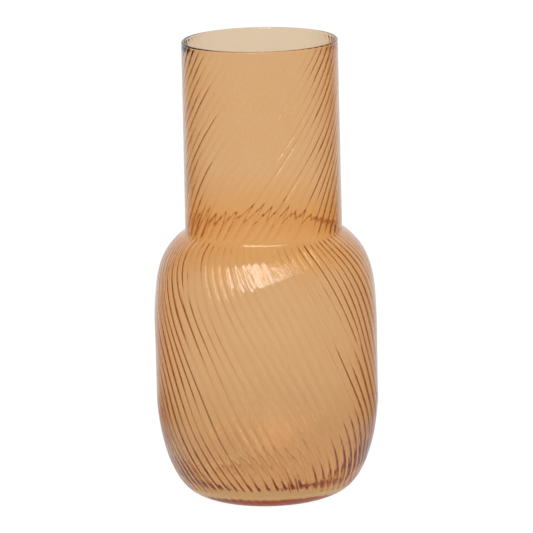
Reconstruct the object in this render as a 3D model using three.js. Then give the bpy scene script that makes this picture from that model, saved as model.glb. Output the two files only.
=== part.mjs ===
// Hand blown glass vase: a ribbed neck cylinder and a ribbed body bubble, joined
// hot at the crease between them. Millimetres, +Z up, origin under the centre of
// the base. Each named zone of the glass is its own closed solid, and one zone
// rests on the next along a level plane.

import * as THREE from 'three';

// Driving dimensions

const HEIGHT = 250;
const BODY_RADIUS = 60.9;
const NECK_FOOT_RADIUS = 42.75;
const LIP_RADIUS = 42.15;
const WALL = 2.3;
const CREASE_Z = 145.8;
const CREASE_FILLET = 1.6;

// The body wall is upright between these two heights and curves away beyond them
const BELLY_LOW_Z = 53;
const BELLY_HIGH_Z = 89.5;

const FOOT_RADIUS = 37.2;
const FLOOR_Z = 6.5;
const FLOOR_RADIUS = 33;
const KICK_RADIUS = 29;
const KICK_HEIGHT = 1.5;

// Level planes where one zone of the glass ends and the next begins
const BASE_TOP_Z = 10;
const HEEL_TOP_Z = 36;
const BELLY_TOP_Z = 104;
const SHOULDER_TOP_Z = 141;
const SEAM_TOP_Z = 150;
const NECK_TOP_Z = 245;

const SEGMENTS = 48;
const CURVE_STEPS = 160;

const GLASS = { color: 0xd9a878, roughness: 0.06, metalness: 0, transparent: true, opacity: 0.45 };

// Outlines, as curves of radius (x) against height (y)

const at = (radius, z) => new THREE.Vector2(radius, z);

// The outer heel leaves the table level and ends upright at the foot of the belly
const outerHeel = new THREE.CubicBezierCurve(
  at(FOOT_RADIUS, 0),
  at(FOOT_RADIUS + 16.7, 0),
  at(BODY_RADIUS, BELLY_LOW_Z - 18.3),
  at(BODY_RADIUS, BELLY_LOW_Z),
);

// The outer shoulder leaves the belly upright and meets the neck 36 degrees from level
const outerShoulder = new THREE.CubicBezierCurve(
  at(BODY_RADIUS, BELLY_HIGH_Z),
  at(BODY_RADIUS, BELLY_HIGH_Z + 35.8),
  at(NECK_FOOT_RADIUS + 14.6, CREASE_Z - 10.6),
  at(NECK_FOOT_RADIUS, CREASE_Z),
);

// The inner heel rises from the floor, so that the wall is thickest at the heel
const innerHeel = new THREE.CubicBezierCurve(
  at(FLOOR_RADIUS, FLOOR_Z),
  at(FLOOR_RADIUS + 17, FLOOR_Z),
  at(BODY_RADIUS - WALL, BELLY_LOW_Z - 17),
  at(BODY_RADIUS - WALL, BELLY_LOW_Z),
);

// Points of a curve moved sideways by a distance, to its left as it runs upwards
function offset(curve, distance) {
  return curve.getPoints(CURVE_STEPS).map((point, i) => {
    const tangent = curve.getTangent(i / CURVE_STEPS);
    return at(point.x - distance * tangent.y, point.y + distance * tangent.x);
  });
}

// Radius of an upward outline at a height, straight between its points
function radiusAt(points, z) {
  const i = Math.max(1, points.findIndex((point) => point.y >= z));
  const low = points[i - 1];
  const high = points[i];
  return THREE.MathUtils.mapLinear(z, low.y, high.y, low.x, high.x);
}

const lipPoint = at(LIP_RADIUS, HEIGHT);
const outer = [...outerHeel.getPoints(CURVE_STEPS), ...outerShoulder.getPoints(CURVE_STEPS), lipPoint];

// Inside, the wall turns round the crease along an arc centred on it
const inner = [
  ...innerHeel.getPoints(CURVE_STEPS),
  ...offset(outerShoulder, WALL),
  at(NECK_FOOT_RADIUS - WALL, CREASE_Z),
  at(LIP_RADIUS - WALL, HEIGHT),
];

// Radius of the outside at a height, with the crease filled by a small fillet: a
// quadratic bump that fades out a fillet's width above and below the crease
function outerAt(z) {
  const reach = CREASE_FILLET - Math.abs(z - CREASE_Z);
  const fill = reach > 0 ? (reach * reach) / (3 * CREASE_FILLET) : 0;
  return radiusAt(outer, z) + fill;
}

const innerAt = (z) => radiusAt(inner, z);

// Equal steps of height from one level to another, both ends included
function levels(from, to, steps) {
  return Array.from({ length: steps + 1 }, (_, i) => THREE.MathUtils.lerp(from, to, i / steps));
}

// Zones

const vase = new THREE.Group();
vase.name = 'blown_glass_vase';

function addZone(name, profile) {
  const material = new THREE.MeshStandardMaterial(GLASS);
  const mesh = new THREE.Mesh(new THREE.LatheGeometry(profile, SEGMENTS), material);
  // LatheGeometry turns about Y: stand its axis up along Z
  mesh.rotation.x = Math.PI / 2;
  mesh.name = name;
  vase.add(mesh);
}

// A ring of wall between two levels: up the outside and back down the inside
function addRing(name, from, to, steps) {
  const outside = levels(from, to, steps).map((z) => at(outerAt(z), z));
  const inside = levels(to, from, steps).map((z) => at(innerAt(z), z));
  addZone(name, [...outside, ...inside, outside[0]]);
}

// The base: a thick disc, hollowed underneath, with the inside of the heel on top
function addBase() {
  const kick = levels(0, 1, 4).map((t) => at(KICK_RADIUS * t, KICK_HEIGHT * (1 - t * t)));
  const outside = levels(0, BASE_TOP_Z, 6).map((z) => at(outerAt(z), z));
  const inside = levels(BASE_TOP_Z, FLOOR_Z, 4).map((z) => at(innerAt(z), z));
  addZone('base_disc', [...kick, ...outside, ...inside, at(0, FLOOR_Z)]);
}

// The lip: the neck's wall, closed on top by a fire-polished half round
function addLip() {
  const bead = WALL / 2;
  const round = levels(0, Math.PI, 8).map((turn) => {
    return at(LIP_RADIUS - bead + bead * Math.cos(turn), HEIGHT - bead + bead * Math.sin(turn));
  });
  const foot = at(outerAt(NECK_TOP_Z), NECK_TOP_Z);
  addZone('lip_bead', [foot, ...round, at(innerAt(NECK_TOP_Z), NECK_TOP_Z), foot]);
}

addBase();
addRing('heel_wall', BASE_TOP_Z, HEEL_TOP_Z, 6);
addRing('belly_wall', HEEL_TOP_Z, BELLY_TOP_Z, 6);
addRing('shoulder_wall', BELLY_TOP_Z, SHOULDER_TOP_Z, 10);
addRing('seam_collar', SHOULDER_TOP_Z, SEAM_TOP_Z, 7);
addRing('neck_wall', SEAM_TOP_Z, NECK_TOP_Z, 2);
addLip();

export default vase;
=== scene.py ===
import math

import bpy
import numpy as np
from mathutils import Matrix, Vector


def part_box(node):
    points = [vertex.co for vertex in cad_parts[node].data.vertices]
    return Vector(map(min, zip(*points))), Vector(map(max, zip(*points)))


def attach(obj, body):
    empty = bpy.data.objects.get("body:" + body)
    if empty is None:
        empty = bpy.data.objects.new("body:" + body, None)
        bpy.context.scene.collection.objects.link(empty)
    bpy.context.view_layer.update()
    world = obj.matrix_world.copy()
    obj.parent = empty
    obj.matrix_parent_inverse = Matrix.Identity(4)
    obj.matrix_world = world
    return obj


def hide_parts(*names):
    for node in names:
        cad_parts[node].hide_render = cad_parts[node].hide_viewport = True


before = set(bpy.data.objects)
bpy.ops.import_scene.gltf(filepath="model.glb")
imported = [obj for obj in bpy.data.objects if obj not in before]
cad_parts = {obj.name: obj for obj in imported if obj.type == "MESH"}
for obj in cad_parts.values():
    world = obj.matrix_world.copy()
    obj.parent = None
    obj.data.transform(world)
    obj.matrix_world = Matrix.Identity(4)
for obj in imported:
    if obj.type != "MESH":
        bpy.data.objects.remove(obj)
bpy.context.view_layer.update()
print("frame loaded")

mm = 0.001

# Heights and radii of the glass, in metres. Its whole height and width come from the
# frame. A pair is a length across and a length up.
glassOutline = {
    "height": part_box("lip_bead")[1][2],
    "bodyRadius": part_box("belly_wall")[1][0],
    "lipRadius": 42.15 * mm,
    "neckFootRadius": 42.75 * mm,
    "creaseHeight": 145.8 * mm,
    "creaseFillet": 1.0 * mm,
    "wall": 2.3 * mm,
    # half sizes of the ellipses that round the lip
    "lipOutside": (0.95 * mm, 0.95 * mm),
    "lipInside": (0.75 * mm, 0.8 * mm),
    # a shallow groove under the lip: height, depth, half width
    "lipGroove": (248.55 * mm, 0.24 * mm, 0.50 * mm),
    # the height over which the wall thins towards the lip
    "taper": 16 * mm,
    "bellyLow": 53 * mm,
    "bellyHigh": 89.5 * mm,
    "footRadius": 37.2 * mm,
    "floorHeight": 6.5 * mm,
    "floorRadius": 33 * mm,
    # the underside's hollow
    "kickRadius": 29 * mm,
    "kickHeight": 1.5 * mm,
    # how far the control points of the curves stand from their ends
    "heelHandles": (16.7 * mm, 18.3 * mm),
    "insideHeelHandles": (17 * mm, 17 * mm),
    "shoulderHandle": 35.8 * mm,
    "creaseHandle": (14.6 * mm, 10.6 * mm),
}

# How finely each zone is cut: rings along the outline, columns round it, and the
# steps that the outline is traced in before it is cut
glassGrid = {
    "undersideColumns": 160,
    "outerColumns": 480,
    "innerColumns": 960,
    "floorColumns": 160,
    "undersideRings": 7,
    "bodyRings": 48,
    "neckRings": 24,
    "lipRings": 9,
    "innerRings": 56,
    "floorRings": 4,
    "curveSteps": 400,
    "bellySteps": 200,
    "neckSteps": 400,
    "insideNeckSteps": 300,
    "turnSteps": 40,
    "twistLevels": 501,
}

# Where the rings stand closer: height, half width and how many times more of them
outerCrowds = (
    (glassOutline["creaseHeight"], 3 * mm, 5),
    (0, 6 * mm, 1),
    (glassOutline["lipGroove"][0], 0.9 * mm, 14),
)
innerCrowds = (
    (glassOutline["creaseHeight"], 5 * mm, 3),
    (glassOutline["floorHeight"], 6 * mm, 0.6),
)

# The ribs, narrow ridges on the inside with a soft wave over them on the outside.
# Twist is in degrees of turn per millimetre of height, positive to the right as the
# glass rises; ridge is how far they stand into the hollow, wave how far the outside
# sinks between them. There are countHigh of them high up and countLow low down, and
# the count changes round thinningMiddle. Both waves and ridges come in between foot
# and footFull and go out between topFull and top.
bodyRibs = {
    "countHigh": 72,
    "countLow": 64,
    "ridge": 0.49 * mm,
    "wave": 0.19 * mm,
    "twist": -0.476,
    "twistStart": 147 * mm,
    "twistFull": 136 * mm,
    "thinningMiddle": 104 * mm,
    "thinningSpan": 60 * mm,
    "top": 145.7 * mm,
    "topFull": 143.0 * mm,
    "foot": 2.0 * mm,
    "footFull": 7.0 * mm,
    "wander": 0.9,
    "seed": 11,
}
neckRibs = {
    "countHigh": 50,
    "countLow": 47,
    "ridge": 0.47 * mm,
    "wave": 0.05 * mm,
    "twistFoot": 0.80,
    "twist": 1.04,
    # heights above the crease: the twist sets in over the ramp and grows over the climb
    "twistRamp": 3 * mm,
    "twistClimb": (10 * mm, 45 * mm),
    "thinningMiddle": 175 * mm,
    "thinningSpan": 70 * mm,
    "foot": 145.9 * mm,
    "footFull": 148.5 * mm,
    "top": 247.3 * mm,
    "topFull": 243.5 * mm,
    "wander": 0.7,
    "seed": 5,
}
ribShape = {
    # powers of the cosine: the higher, the narrower
    "ridgeNarrowness": 2.1,
    "waveNarrowness": 2.2,
    # the ridges come in later than the wave, where the inside leaves the floor
    "ridgeFoot": 7.0 * mm,
    "ridgeFootFull": 14.0 * mm,
    # from one height to the next the ridges get lower, down to a share of their full
    # size, and they stay so above
    "ridgeCrease": (112 * mm, 142 * mm, 0.72),
    # how far columns slide towards the ridges, and how uneven the ribs' sizes are
    "crowding": 0.5,
    "uneven": 0.27,
    # slow waves: how many, most turns round, most radians per metre of height
    "wanderWaves": (6, 13, 90),
    "patchWaves": (5, 7, 60),
    "unevenWaves": (6, 30, 120),
    "patchShare": 0.35,
    # how far the second family is out of step with the first, and how strong the
    # two have to be together for a full rib
    "forkLag": 1.3,
    "forkFull": 0.35,
}


def smoothStep(low, high, x):
    # 3t^2 - 2t^3 between two limits, flat beyond them
    t = np.clip((x - low) / (high - low), 0, 1)
    return t * t * (3 - 2 * t)


def bezier(p0, p1, p2, p3, steps):
    # the cubic Bezier curve with four control points
    t = np.linspace(0, 1, steps)[:, None]
    p0, p1, p2, p3 = (np.array(p) for p in (p0, p1, p2, p3))
    return (1 - t) ** 3 * p0 + 3 * (1 - t) ** 2 * t * p1 + 3 * (1 - t) * t * t * p2 + t ** 3 * p3


def line(p0, p1, steps):
    t = np.linspace(0, 1, steps)[:, None]
    return np.array(p0) * (1 - t) + np.array(p1) * t


def pathNormals(path):
    # the left-hand side of a path of (radius, height) is inside the glass, so the
    # outward normal is the tangent turned to the right: (dz, -dr)
    tangent = np.gradient(path, axis=0)
    tangent /= np.linalg.norm(tangent, axis=1)[:, None]
    return np.stack([tangent[:, 1], -tangent[:, 0]], axis=1)


def resample(path, rings, crowds):
    # equal steps of arc length, weighted by a bell curve for each crowd of rings
    steps = np.linalg.norm(np.diff(path, axis=0), axis=1)
    middle = (path[1:, 1] + path[:-1, 1]) / 2
    weight = 1
    for height, width, more in crowds:
        weight = weight + more * np.exp(-((middle - height) / width) ** 2)
    along = np.concatenate([[0], np.cumsum(steps * weight)])
    at = np.linspace(0, along[-1], rings)
    return np.stack([np.interp(at, along, path[:, k]) for k in (0, 1)], axis=1)


def slowWaves(rng, turn, height, waves):
    # a sum of a few sine waves of random whole counts round the glass and random
    # lengths up it, scaled to about -1 to 1
    kinds, mostTurns, mostClimb = waves
    total = 0
    for _ in range(kinds):
        count = rng.integers(1, mostTurns + 1)
        climb = rng.uniform(-mostClimb, mostClimb)
        phase = rng.uniform(0, 2 * math.pi)
        total = total + np.sin(count * turn + climb * height + phase)
    return total / math.sqrt(kinds)


def twistAngle(z):
    # turn of the ribs at each height: the twist rate summed up from the foot, one
    # way in the body, none at the crease and the other way in the neck
    crease = glassOutline["creaseHeight"]
    levels = np.linspace(0, glassOutline["height"], glassGrid["twistLevels"])
    body = bodyRibs["twist"] * smoothStep(bodyRibs["twistStart"], bodyRibs["twistFull"], levels)
    low, high = neckRibs["twistClimb"]
    climb = smoothStep(crease + low, crease + high, levels)
    neck = neckRibs["twistFoot"] + (neckRibs["twist"] - neckRibs["twistFoot"]) * climb
    neck = neck * smoothStep(crease, crease + neckRibs["twistRamp"], levels)
    rate = np.where(levels < crease, body, neck)
    turn = np.concatenate([[0], np.cumsum((rate[1:] + rate[:-1]) / 2 * np.diff(levels) / mm)])
    turn -= np.interp(crease, levels, turn)
    return np.radians(np.interp(z, levels, turn))


def ribPhase(ribs, turn, z):
    # two families of ribs, one of each count, cross-faded down the glass. Where
    # they are equally strong and out of step a rib forks. The phase wanders slowly.
    rng = np.random.default_rng(ribs["seed"])
    wander = ribs["wander"] * slowWaves(rng, turn, z, ribShape["wanderWaves"])
    patch = slowWaves(rng, turn, z, ribShape["patchWaves"])
    down = (ribs["thinningMiddle"] - z) / ribs["thinningSpan"]
    low = smoothStep(0, 1, 0.5 + down + ribShape["patchShare"] * patch)
    high = 1 - low
    field = high * np.exp(1j * (ribs["countHigh"] * turn + wander))
    field = field + low * np.exp(1j * (ribs["countLow"] * turn + wander + ribShape["forkLag"]))
    return np.angle(field), np.clip(np.abs(field) / ribShape["forkFull"], 0, 1)


def crowdColumns(turn, z):
    # slides each column towards the nearest ridge by the sine of the rib's phase
    inNeck = z > glassOutline["creaseHeight"]
    moved = turn
    for ribs, here in ((bodyRibs, ~inNeck), (neckRibs, inNeck)):
        phase, strength = ribPhase(ribs, turn, z)
        reach = strength * ribShape["crowding"] / ribs["countHigh"]
        moved = moved - here * reach * np.sin(phase)
    return moved


def ribField(turn, z, narrowness, size):
    # the full height that the ribs may have at each point, and how much of it a rib
    # takes up: a power of the cosine of half the phase
    full, taken = 0, 0
    for ribs in (bodyRibs, neckRibs):
        phase, strength = ribPhase(ribs, turn, z)
        fade = smoothStep(ribs["foot"], ribs["footFull"], z)
        fade = fade * smoothStep(ribs["top"], ribs["topFull"], z)
        rng = np.random.default_rng(ribs["seed"] + 1)
        uneven = 1 + ribShape["uneven"] * (slowWaves(rng, turn, z, ribShape["unevenWaves"]) - 1)
        rise = (np.cos(phase / 2) ** 2) ** narrowness * strength * uneven
        full = full + ribs[size] * fade
        taken = taken + ribs[size] * fade * rise
    return full, taken


def outerSink(turn, z):
    # the outside sinks between the ribs
    full, taken = ribField(turn, z, ribShape["waveNarrowness"], "wave")
    return full - taken


def innerSink(turn, z):
    # the ridges stand into the hollow, so the inside sinks by less than nothing
    full, taken = ribField(turn, z, ribShape["ridgeNarrowness"], "ridge")
    foot = smoothStep(ribShape["ridgeFoot"], ribShape["ridgeFootFull"], z)
    start, end, left = ribShape["ridgeCrease"]
    return -taken * foot * (1 - (1 - left) * smoothStep(start, end, z))


def noSink(turn, z):
    return np.zeros_like(turn)


def ringGrid(path, columns):
    # untwisted turn of each column and height of each ring, as a grid
    turn = np.arange(columns) * 2 * math.pi / columns
    size = (len(path), columns)
    return np.broadcast_to(turn, size), np.broadcast_to(path[:, 1:], size)


def wallPoints(path, normals, columns, sink):
    # each point is the outline's, sunk along its normal and turned by the twist, and
    # once more without the twist
    turn, height = ringGrid(path, columns)
    if sink is innerSink:
        turn = crowdColumns(turn, height)
    depth = sink(turn, height)
    r = path[:, :1] - normals[:, :1] * depth
    z = path[:, 1:] - normals[:, 1:] * depth
    angle = turn + twistAngle(path[:, 1:]) - math.pi / 2
    flat = np.stack([r * np.cos(turn), r * np.sin(turn), height], axis=2)
    return np.stack([r * np.cos(angle), r * np.sin(angle), z], axis=2), flat


def gridFaces(start, rings, columns):
    # quads between neighbouring rings, closed round the glass
    ring = start + np.arange(rings - 1)[:, None] * columns
    here = np.arange(columns)[None, :]
    there = (here + 1) % columns
    quads = [ring + here, ring + there, ring + columns + there, ring + columns + here]
    return np.stack(quads, axis=2).reshape(-1, 4)


def stitchFaces(first, firstColumns, second, secondColumns):
    # triangles between two rings, one with a whole number of times as many columns
    coarse, few, fine, many = first, firstColumns, second, secondColumns
    if few > many:
        coarse, few, fine, many = second, secondColumns, first, firstColumns
    share = many // few
    half = share // 2
    j = np.arange(few)[:, None]
    i = np.arange(share)[None, :]
    a = fine + (j * share + i) % many
    b = fine + (j * share + i + 1) % many
    apex = coarse + np.where(i < half, j, (j + 1) % few)
    edges = np.stack([apex, b, a], axis=2).reshape(-1, 3)
    j = j[:, 0]
    middle = fine + (j * share + half) % many
    bridge = np.stack([coarse + j, coarse + (j + 1) % few, middle], axis=1)
    faces = np.concatenate([edges, bridge])
    return faces if coarse == first else faces[:, ::-1]


def poleFaces(pole, ring, after):
    # a fan of triangles from a pole to each point of a ring and the one after it
    return np.stack([np.full(len(ring), pole), ring, after], axis=1)


def heelCurve(foot, side, handles):
    # leaves the foot level and reaches the side upright
    level = (foot[0] + handles[0], foot[1])
    upright = (side[0], side[1] - handles[1])
    return bezier(foot, level, upright, side, glassGrid["curveSteps"])


def shoulderCurve(outline):
    # leaves the side upright and reaches the crease on a slope
    crease = (outline["neckFootRadius"], outline["creaseHeight"])
    across, down = outline["creaseHandle"]
    return bezier(
        (outline["bodyRadius"], outline["bellyHigh"]),
        (outline["bodyRadius"], outline["bellyHigh"] + outline["shoulderHandle"]),
        (crease[0] + across, crease[1] - down),
        crease,
        glassGrid["curveSteps"],
    )


def outerPath(outline):
    # from the foot up to the lip, as (radius, height)
    foot = (outline["footRadius"], 0)
    side = (outline["bodyRadius"], outline["bellyLow"])
    heel = heelCurve(foot, side, outline["heelHandles"])
    shoulder = shoulderCurve(outline)
    belly = line(heel[-1], shoulder[0], glassGrid["bellySteps"])
    top = (outline["lipRadius"], outline["height"] - outline["lipOutside"][1])
    neck = line(shoulder[-1], top, glassGrid["neckSteps"])
    path = np.concatenate([heel, belly[1:], shoulder[1:], neck[1:]])
    # the crease is filled by a parabola that fades out a fillet's width either side
    reach = np.clip(outline["creaseFillet"] - np.abs(path[:, 1] - outline["creaseHeight"]), 0, None)
    path[:, 0] += reach ** 2 / (3 * outline["creaseFillet"])
    # the groove is a bell curve
    height, depth, width = outline["lipGroove"]
    path[:, 0] -= depth * np.exp(-((path[:, 1] - height) / width) ** 2)
    return path


def innerPath(outline):
    # from the lip down to the floor: the shoulder a wall's thickness further in,
    # joined to the neck by an arc round the crease
    crease = np.array([outline["neckFootRadius"], outline["creaseHeight"]])
    shoulder = shoulderCurve(outline)
    shoulder = shoulder - pathNormals(shoulder) * outline["wall"]
    across, up = shoulder[-1] - crease
    sweep = np.linspace(math.atan2(up, across), -math.pi, glassGrid["turnSteps"])
    turn = np.stack([np.cos(sweep), np.sin(sweep)], axis=1) * outline["wall"] + crease
    foot = (outline["floorRadius"], outline["floorHeight"])
    side = (outline["bodyRadius"] - outline["wall"], outline["bellyLow"])
    heel = heelCurve(foot, side, outline["insideHeelHandles"])
    belly = line(heel[-1], shoulder[0], glassGrid["bellySteps"])
    top = (outline["lipRadius"] - outline["wall"], outline["height"] - outline["lipInside"][1])
    neck = line(turn[-1], top, glassGrid["insideNeckSteps"])
    # the wall thins to the lip's width
    thin = outline["wall"] - outline["lipOutside"][0] - outline["lipInside"][0]
    neck[:, 0] += thin * smoothStep(top[1] - outline["taper"], top[1], neck[:, 1])
    return np.concatenate([heel, belly[1:], shoulder[1:], turn[1:], neck[1:]])[::-1]


def lipPath(outline, rings):
    # a quarter of one ellipse outside and of a smaller one inside
    sweep = np.linspace(0, math.pi, rings + 2)[1:-1, None]
    crown = np.array([outline["lipRadius"] - outline["lipOutside"][0], outline["height"]])
    half = np.where(sweep < math.pi / 2, outline["lipOutside"], outline["lipInside"])
    return crown + half * np.concatenate([np.cos(sweep), np.sin(sweep) - 1], axis=1)


def undersidePath(outline, rings):
    # the kick is a parabola, and from its edge the underside is level to the foot
    across = np.linspace(0, 1, rings + 1)[1:]
    kick = np.stack([across * outline["kickRadius"], outline["kickHeight"] * (1 - across ** 2)], axis=1)
    level = line(kick[-1], (outline["footRadius"], 0), 4)[1:-1]
    return np.concatenate([kick, level])


def glassZones(outline, cut):
    # along the outline from the middle of the underside, round over the lip, to the
    # middle of the floor: each zone's path, its columns and how its surface sinks
    outer = outerPath(outline)
    foot = outer[outer[:, 1] <= outline["creaseHeight"]]
    neck = outer[outer[:, 1] >= foot[-1][1]]
    foot = resample(foot, cut["bodyRings"], outerCrowds)
    neck = resample(neck, cut["neckRings"], outerCrowds)
    outer = np.concatenate([foot, neck[1:], lipPath(outline, cut["lipRings"])])
    inner = resample(innerPath(outline), cut["innerRings"], innerCrowds)
    floor = line(inner[-1], (0, outline["floorHeight"]), cut["floorRings"] + 2)[1:-1]
    return [
        (undersidePath(outline, cut["undersideRings"]), cut["undersideColumns"], noSink),
        (outer, cut["outerColumns"], outerSink),
        (inner, cut["innerColumns"], innerSink),
        (floor, cut["floorColumns"], noSink),
    ]


def makeGlass(outline, cut):
    # one closed surface: the zones stitched ring to ring, with a pole at either end
    zones = glassZones(outline, cut)
    normals = pathNormals(np.concatenate([path for path, columns, sink in zones]))
    points, flats, faces = [], [], []
    count, row, before = 0, 0, None
    for path, columns, sink in zones:
        grid, flat = wallPoints(path, normals[row:row + len(path)], columns, sink)
        points.append(grid.reshape(-1, 3))
        flats.append(flat.reshape(-1, 3))
        faces.append(gridFaces(count, len(path), columns))
        if before:
            faces.append(stitchFaces(*before, count, columns))
        count += len(path) * columns
        row += len(path)
        before = (count - columns, columns)
    poles = np.array([[0, 0, outline["kickHeight"]], [0, 0, outline["floorHeight"]]])
    points.append(poles)
    flats.append(poles)
    first = np.arange(cut["undersideColumns"])
    last = count - cut["floorColumns"] + np.arange(cut["floorColumns"])
    faces.append(poleFaces(count, np.roll(first, -1), first))
    faces.append(poleFaces(count + 1, last, np.roll(last, -1)))

    mesh = bpy.data.meshes.new("blownGlass")
    allFaces = [face for part in faces for face in part.tolist()]
    mesh.from_pydata(np.concatenate(points).tolist(), [], allFaces)
    mesh.polygons.foreach_set("use_smooth", [True] * len(mesh.polygons))
    # where each point would be on an untwisted glass, for marks that follow the ribs
    untwisted = mesh.attributes.new("untwisted", "FLOAT_VECTOR", "POINT")
    untwisted.data.foreach_set("vector", np.concatenate(flats).ravel())
    mesh.validate()
    mesh.update()
    piece = bpy.data.objects.new("blown_glass", mesh)
    bpy.context.scene.collection.objects.link(piece)
    return piece


def smoothRange(nodes, fromLow, fromHigh, toLow, toHigh):
    # a smooth step between two values
    step = nodes.new("ShaderNodeMapRange")
    step.interpolation_type = "SMOOTHSTEP"
    step.inputs["From Min"].default_value = fromLow
    step.inputs["From Max"].default_value = fromHigh
    step.inputs["To Min"].default_value = toLow
    step.inputs["To Max"].default_value = toHigh
    return step


def mixColor(nodes, first, second):
    # a colour mix: inputs 0 factor, 6 and 7 the colours, output 2 the result
    mix = nodes.new("ShaderNodeMix")
    mix.data_type = "RGBA"
    mix.inputs[6].default_value = first
    mix.inputs[7].default_value = second
    return mix


def mathNode(nodes, operation, second=0.0):
    node = nodes.new("ShaderNodeMath")
    node.operation = operation
    node.inputs[1].default_value = second
    return node


def noiseNode(nodes, size, detail):
    # a noise pattern whose features are about this size
    noise = nodes.new("ShaderNodeTexNoise")
    noise.inputs["Scale"].default_value = 1 / size
    noise.inputs["Detail"].default_value = detail
    return noise


def bumpNode(nodes, depth):
    bump = nodes.new("ShaderNodeBump")
    bump.inputs["Strength"].default_value = 1.0
    bump.inputs["Distance"].default_value = depth
    return bump


# The glass: a tint where light crosses the surface and another that grows with the
# path through the wall. Lengths and heights are in metres. The edges of a pattern are
# the values of its noise between which it comes in.
peachGlass = {
    "surfaceTint": (0.996, 0.782, 0.578, 1),
    "surfaceTintDeep": (0.992, 0.768, 0.556, 1),
    "cloudSize": 0.014,
    "cloudDetail": 3.0,
    "cloudEdges": (0.3, 0.7),
    "creaseTint": (0.994, 0.68, 0.385, 1),
    "creaseTintRise": (0.124, 0.142),
    "creaseTintFall": (0.150, 0.172),
    "ior": 1.5,
    "roughnessLow": 0.004,
    "roughnessHigh": 0.022,
    "smearSize": 0.009,
    "smearDetail": 4.0,
    "smearEdges": (0.45, 0.75),
    "absorbColor": (0.89, 0.625, 0.03, 1),
    "absorbDensity": 64.0,
    "streakWidth": 0.0016,
    "streakStretch": 0.06,
    "streakDetail": 2.0,
    "streakDepth": 0.000070,
    # seeds: size of the cells, the share of them with a seed, its radius as a share
    # of the cell's size, and its depth
    "seedSpacing": 0.0075,
    "seedShare": 0.30,
    "seedRadius": 0.045,
    "seedDepth": 0.00012,
}


def makeGlassMaterial(values):
    material = bpy.data.materials.new("peachGlass")
    material.use_nodes = True
    nodes = material.node_tree.nodes
    links = material.node_tree.links
    shader = nodes["Principled BSDF"]
    shader.inputs["Transmission Weight"].default_value = 1.0
    shader.inputs["IOR"].default_value = values["ior"]
    where = nodes.new("ShaderNodeTexCoord")
    untwisted = nodes.new("ShaderNodeAttribute")
    untwisted.attribute_name = "untwisted"

    # clouds: the surface tint drifts between two close tints
    clouds = noiseNode(nodes, values["cloudSize"], values["cloudDetail"])
    cloudy = smoothRange(nodes, *values["cloudEdges"], 0, 1)
    tint = mixColor(nodes, values["surfaceTint"], values["surfaceTintDeep"])
    links.new(where.outputs["Object"], clouds.inputs["Vector"])
    links.new(clouds.outputs["Fac"], cloudy.inputs["Value"])
    links.new(cloudy.outputs["Result"], tint.inputs[0])

    # the tint deepens round the crease: a smooth rise with height times a smooth fall
    split = nodes.new("ShaderNodeSeparateXYZ")
    rise = smoothRange(nodes, *values["creaseTintRise"], 0, 1)
    fall = smoothRange(nodes, *values["creaseTintFall"], 1, 0)
    gathered = mathNode(nodes, "MULTIPLY")
    deepened = mixColor(nodes, (1, 1, 1, 1), values["creaseTint"])
    links.new(where.outputs["Object"], split.inputs[0])
    links.new(split.outputs["Z"], rise.inputs["Value"])
    links.new(split.outputs["Z"], fall.inputs["Value"])
    links.new(rise.outputs["Result"], gathered.inputs[0])
    links.new(fall.outputs["Result"], gathered.inputs[1])
    links.new(gathered.outputs[0], deepened.inputs[0])
    links.new(tint.outputs[2], deepened.inputs[6])
    links.new(deepened.outputs[2], shader.inputs["Base Color"])

    # smears: patches where the polish is a little softer
    smears = noiseNode(nodes, values["smearSize"], values["smearDetail"])
    roughness = (values["roughnessLow"], values["roughnessHigh"])
    polish = smoothRange(nodes, *values["smearEdges"], *roughness)
    links.new(untwisted.outputs["Vector"], smears.inputs["Vector"])
    links.new(smears.outputs["Fac"], polish.inputs["Value"])
    links.new(polish.outputs["Result"], shader.inputs["Roughness"])

    # streaks: noise stretched along the untwisted height, so that it follows the ribs
    squash = nodes.new("ShaderNodeVectorMath")
    squash.operation = "MULTIPLY"
    squash.inputs[1].default_value = (1, 1, values["streakStretch"])
    streaks = noiseNode(nodes, values["streakWidth"], values["streakDetail"])
    drawn = bumpNode(nodes, values["streakDepth"])
    links.new(untwisted.outputs["Vector"], squash.inputs[0])
    links.new(squash.outputs["Vector"], streaks.inputs["Vector"])
    links.new(streaks.outputs["Fac"], drawn.inputs["Height"])

    # seeds: round dimples at the middles of some of the cells of a cell pattern
    cells = nodes.new("ShaderNodeTexVoronoi")
    cells.inputs["Scale"].default_value = 1 / values["seedSpacing"]
    kept = nodes.new("ShaderNodeSeparateColor")
    chosen = mathNode(nodes, "LESS_THAN", values["seedShare"])
    dimple = smoothRange(nodes, 0, values["seedRadius"], 1, 0)
    seeds = mathNode(nodes, "MULTIPLY")
    pitted = bumpNode(nodes, values["seedDepth"])
    links.new(where.outputs["Object"], cells.inputs["Vector"])
    links.new(cells.outputs["Distance"], dimple.inputs["Value"])
    links.new(cells.outputs["Color"], kept.inputs[0])
    links.new(kept.outputs[0], chosen.inputs[0])
    links.new(dimple.outputs["Result"], seeds.inputs[0])
    links.new(chosen.outputs[0], seeds.inputs[1])
    links.new(seeds.outputs[0], pitted.inputs["Height"])
    links.new(drawn.outputs["Normal"], pitted.inputs["Normal"])
    links.new(pitted.outputs["Normal"], shader.inputs["Normal"])

    absorb = nodes.new("ShaderNodeVolumeAbsorption")
    absorb.inputs["Color"].default_value = values["absorbColor"]
    absorb.inputs["Density"].default_value = values["absorbDensity"]
    links.new(absorb.outputs["Volume"], nodes["Material Output"].inputs["Volume"])
    return material


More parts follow.
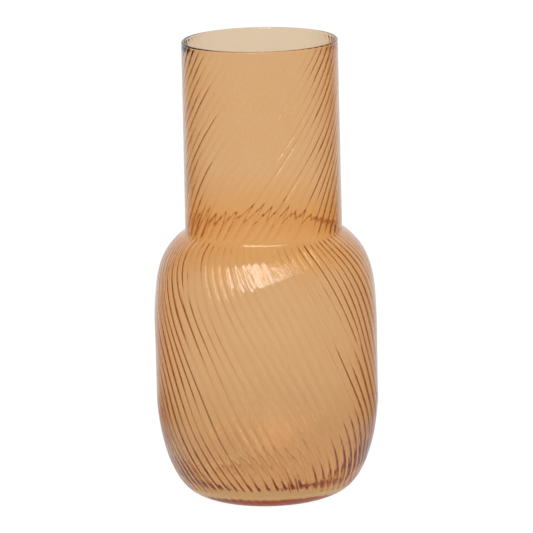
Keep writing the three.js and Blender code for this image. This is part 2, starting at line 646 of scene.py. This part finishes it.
glass = makeGlass(glassOutline, glassGrid)
glass.data.materials.append(makeGlassMaterial(peachGlass))
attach(glass, "root")
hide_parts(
    "base_disc", "heel_wall", "belly_wall", "shoulder_wall",
    "seam_collar", "neck_wall", "lip_bead",
)
print("glass made:", len(glass.data.polygons), "faces")

# The studio. The floor is lit from within, so that each colour is what the glass sees:
# white to the camera, and to the glass a cool lit back between two dark amber flags.
studio = {
    "floorSize": 8.0,
    "floorColor": (0.9, 0.9, 0.9, 1),
    # the share of the floor's light that is its own
    "floorGlow": 0.85,
    "floorLit": (0.82, 0.87, 0.92),
    # shade under the glass: the share of light left, how far it reaches, its power
    "floorShade": (0.56, 0.6, 0.4),
    # the colour of the painted shade under the glass: a shadow tinted by light through the amber glass
    "floorShadeAmber": (0.13, 0.03, 0.0),
    # out to the first distance the floor is lit all round, from the second the
    # flags and the room show in it
    "floorNear": (0.08, 0.20),
    "cameraWhite": (1.14, 1.14, 1.14, 1),
    "back": (0.84, 0.88, 0.93),
    "flags": (0.20, 0.024, 0.001),
    "room": (0.34, 0.23, 0.15),
    # how far back a direction points, as the back of its unit vector level with
    # the floor: from the flags to the lit back, and from the room to the flags
    "backSpan": (0.54, 0.88),
    "flagSpan": (-0.25, 0.15),
    "softboxes": {
        # azimuth, elevation, distance, size, tilt of its right end up, radiance
        "left": (-31, 37, 1.2, (0.12, 0.80), 12, 6.0),
        "innerLeft": (-17, 39, 1.2, (0.15, 1.00), 12, 6.6),
        "middle": (-5, 40, 1.2, (0.15, 0.95), 12, 7.0),
        "innerRight": (8, 42, 1.2, (0.11, 0.75), 12, 6.4),
        "right": (20, 43, 1.2, (0.08, 0.60), 12, 6.0),
        "outerRight": (32, 44, 1.2, (0.07, 0.50), 12, 5.4),
    },
    "softboxTarget": (0, 0, 0.19),
    "bounces": 64,
    "glossyBounces": 16,
}


def surroundings(nodes, links, place, values, back):
    # the colour round the glass in each direction: a lit back, a dark flag on
    # either side of it and a dim warm room in front
    level = nodes.new("ShaderNodeVectorMath")
    level.operation = "MULTIPLY"
    level.inputs[1].default_value = (1, 1, 0)
    unit = nodes.new("ShaderNodeVectorMath")
    unit.operation = "NORMALIZE"
    split = nodes.new("ShaderNodeSeparateXYZ")
    toBack = smoothRange(nodes, *values["backSpan"], 0, 1)
    toFlags = smoothRange(nodes, *values["flagSpan"], 0, 1)
    sides = mixColor(nodes, (*values["room"], 1), (*values["flags"], 1))
    whole = mixColor(nodes, (1, 1, 1, 1), (*back, 1))
    links.new(place, level.inputs[0])
    links.new(level.outputs["Vector"], unit.inputs[0])
    links.new(unit.outputs["Vector"], split.inputs[0])
    links.new(split.outputs["Y"], toBack.inputs["Value"])
    links.new(split.outputs["Y"], toFlags.inputs["Value"])
    links.new(toFlags.outputs["Result"], sides.inputs[0])
    links.new(toBack.outputs["Result"], whole.inputs[0])
    links.new(sides.outputs[2], whole.inputs[6])
    return whole


def plainToCamera(nodes, links, color, white):
    # white where the camera sees it straight, the given colour everywhere else
    seen = mixColor(nodes, (1, 1, 1, 1), white)
    path = nodes.new("ShaderNodeLightPath")
    links.new(color, seen.inputs[6])
    links.new(path.outputs["Is Camera Ray"], seen.inputs[0])
    return seen.outputs[2]


def makeFloor(values):
    half = values["floorSize"] / 2
    mesh = bpy.data.meshes.new("floor")
    corners = [(-half, -half, 0), (half, -half, 0), (half, half, 0), (-half, half, 0)]
    mesh.from_pydata(corners, [], [(0, 1, 2, 3)])
    floor = bpy.data.objects.new("floor", mesh)
    bpy.context.scene.collection.objects.link(floor)
    material = bpy.data.materials.new("paleFloor")
    material.use_nodes = True
    nodes = material.node_tree.nodes
    links = material.node_tree.links
    shader = nodes["Principled BSDF"]
    shader.inputs["Base Color"].default_value = values["floorColor"]
    shader.inputs["Roughness"].default_value = 0.9
    glow = nodes.new("ShaderNodeEmission")
    where = nodes.new("ShaderNodeTexCoord")
    around = surroundings(nodes, links, where.outputs["Object"], values, values["floorLit"])
    # close to the glass the floor is lit all round
    far = nodes.new("ShaderNodeVectorMath")
    far.operation = "LENGTH"
    near = smoothRange(nodes, *values["floorNear"], 0, 1)
    close = mixColor(nodes, (*values["floorLit"], 1), (1, 1, 1, 1))
    # and it is shaded amber under the glass: a power of the distance
    share, reach, power = values["floorShade"]
    out = nodes.new("ShaderNodeMapRange")
    out.inputs["From Max"].default_value = reach
    bend = mathNode(nodes, "POWER", power)
    shade = nodes.new("ShaderNodeMapRange")
    shade.inputs["To Min"].default_value = share
    dim = mixColor(nodes, (*values["floorShadeAmber"], 1), (1, 1, 1, 1))
    links.new(where.outputs["Object"], far.inputs[0])
    links.new(far.outputs["Value"], near.inputs["Value"])
    links.new(far.outputs["Value"], out.inputs["Value"])
    links.new(out.outputs["Result"], bend.inputs[0])
    links.new(bend.outputs[0], shade.inputs["Value"])
    links.new(near.outputs["Result"], close.inputs[0])
    links.new(around.outputs[2], close.inputs[7])
    links.new(shade.outputs["Result"], dim.inputs[0])
    links.new(close.outputs[2], dim.inputs[7])
    seen = plainToCamera(nodes, links, dim.outputs[2], values["cameraWhite"])
    links.new(seen, glow.inputs["Color"])
    mix = nodes.new("ShaderNodeMixShader")
    mix.inputs[0].default_value = values["floorGlow"]
    links.new(shader.outputs[0], mix.inputs[1])
    links.new(glow.outputs[0], mix.inputs[2])
    links.new(mix.outputs[0], nodes["Material Output"].inputs["Surface"])
    mesh.materials.append(material)


def makeWorld(values):
    world = bpy.data.worlds.new("studio")
    bpy.context.scene.world = world
    world.use_nodes = True
    nodes = world.node_tree.nodes
    links = world.node_tree.links
    where = nodes.new("ShaderNodeTexCoord")
    around = surroundings(nodes, links, where.outputs["Generated"], values, values["back"])
    seen = plainToCamera(nodes, links, around.outputs[2], values["cameraWhite"])
    links.new(seen, nodes["Background"].inputs["Color"])
    nodes["Background"].inputs["Strength"].default_value = 1.0


def makeSoftbox(name, azimuth, elevation, distance, size, tilt, radiance, target):
    # azimuth is to the right of the camera's side, elevation above level
    az, el = math.radians(azimuth), math.radians(elevation)
    outward = np.array([math.sin(az) * math.cos(el), -math.cos(az) * math.cos(el), math.sin(el)])
    light = bpy.data.lights.new(name, "AREA")
    light.shape = "RECTANGLE"
    light.size, light.size_y = size
    light.energy = math.pi * size[0] * size[1] * radiance
    lamp = bpy.data.objects.new(name, light)
    right = np.array([math.cos(az), math.sin(az), 0])
    up = np.cross(outward, right)
    turn = Matrix([[right[k], up[k], outward[k]] for k in range(3)]).to_4x4()
    turn.translation = np.array(target) + outward * distance
    lamp.matrix_world = turn @ Matrix.Rotation(math.radians(tilt), 4, "Z")
    bpy.context.scene.collection.objects.link(lamp)


# The camera looks down from the front on a point close to the axis. Angles are in
# degrees, the lens in millimetres.
viewpoint = {
    "elevation": 13.161,
    "distance": 1.85,
    "height": 124.58 * mm,
    "side": 1.04 * mm,
    "lens": 229.1,
    "roll": -1.3,
}


def makeCamera(view):
    el = math.radians(view["elevation"])
    data = bpy.data.cameras.new("camera")
    data.lens = view["lens"]
    data.sensor_width = 36
    data.clip_start = 0.01
    camera = bpy.data.objects.new("camera", data)
    back = view["distance"] * math.cos(el)
    rise = view["height"] + view["distance"] * math.sin(el)
    place = Matrix.Translation((view["side"], -back, rise))
    tilt = Matrix.Rotation(math.pi / 2 - el, 4, "X")
    roll = Matrix.Rotation(math.radians(view["roll"]), 4, "Z")
    camera.matrix_world = place @ tilt @ roll
    bpy.context.scene.collection.objects.link(camera)
    bpy.context.scene.camera = camera


makeFloor(studio)
makeWorld(studio)
for name, setup in studio["softboxes"].items():
    makeSoftbox(name, *setup, studio["softboxTarget"])
makeCamera(viewpoint)
scene = bpy.context.scene
scene.view_settings.view_transform = "Standard"
scene.cycles.max_bounces = studio["bounces"]
scene.cycles.transmission_bounces = studio["bounces"]
scene.cycles.glossy_bounces = studio["glossyBounces"]
print("studio made")
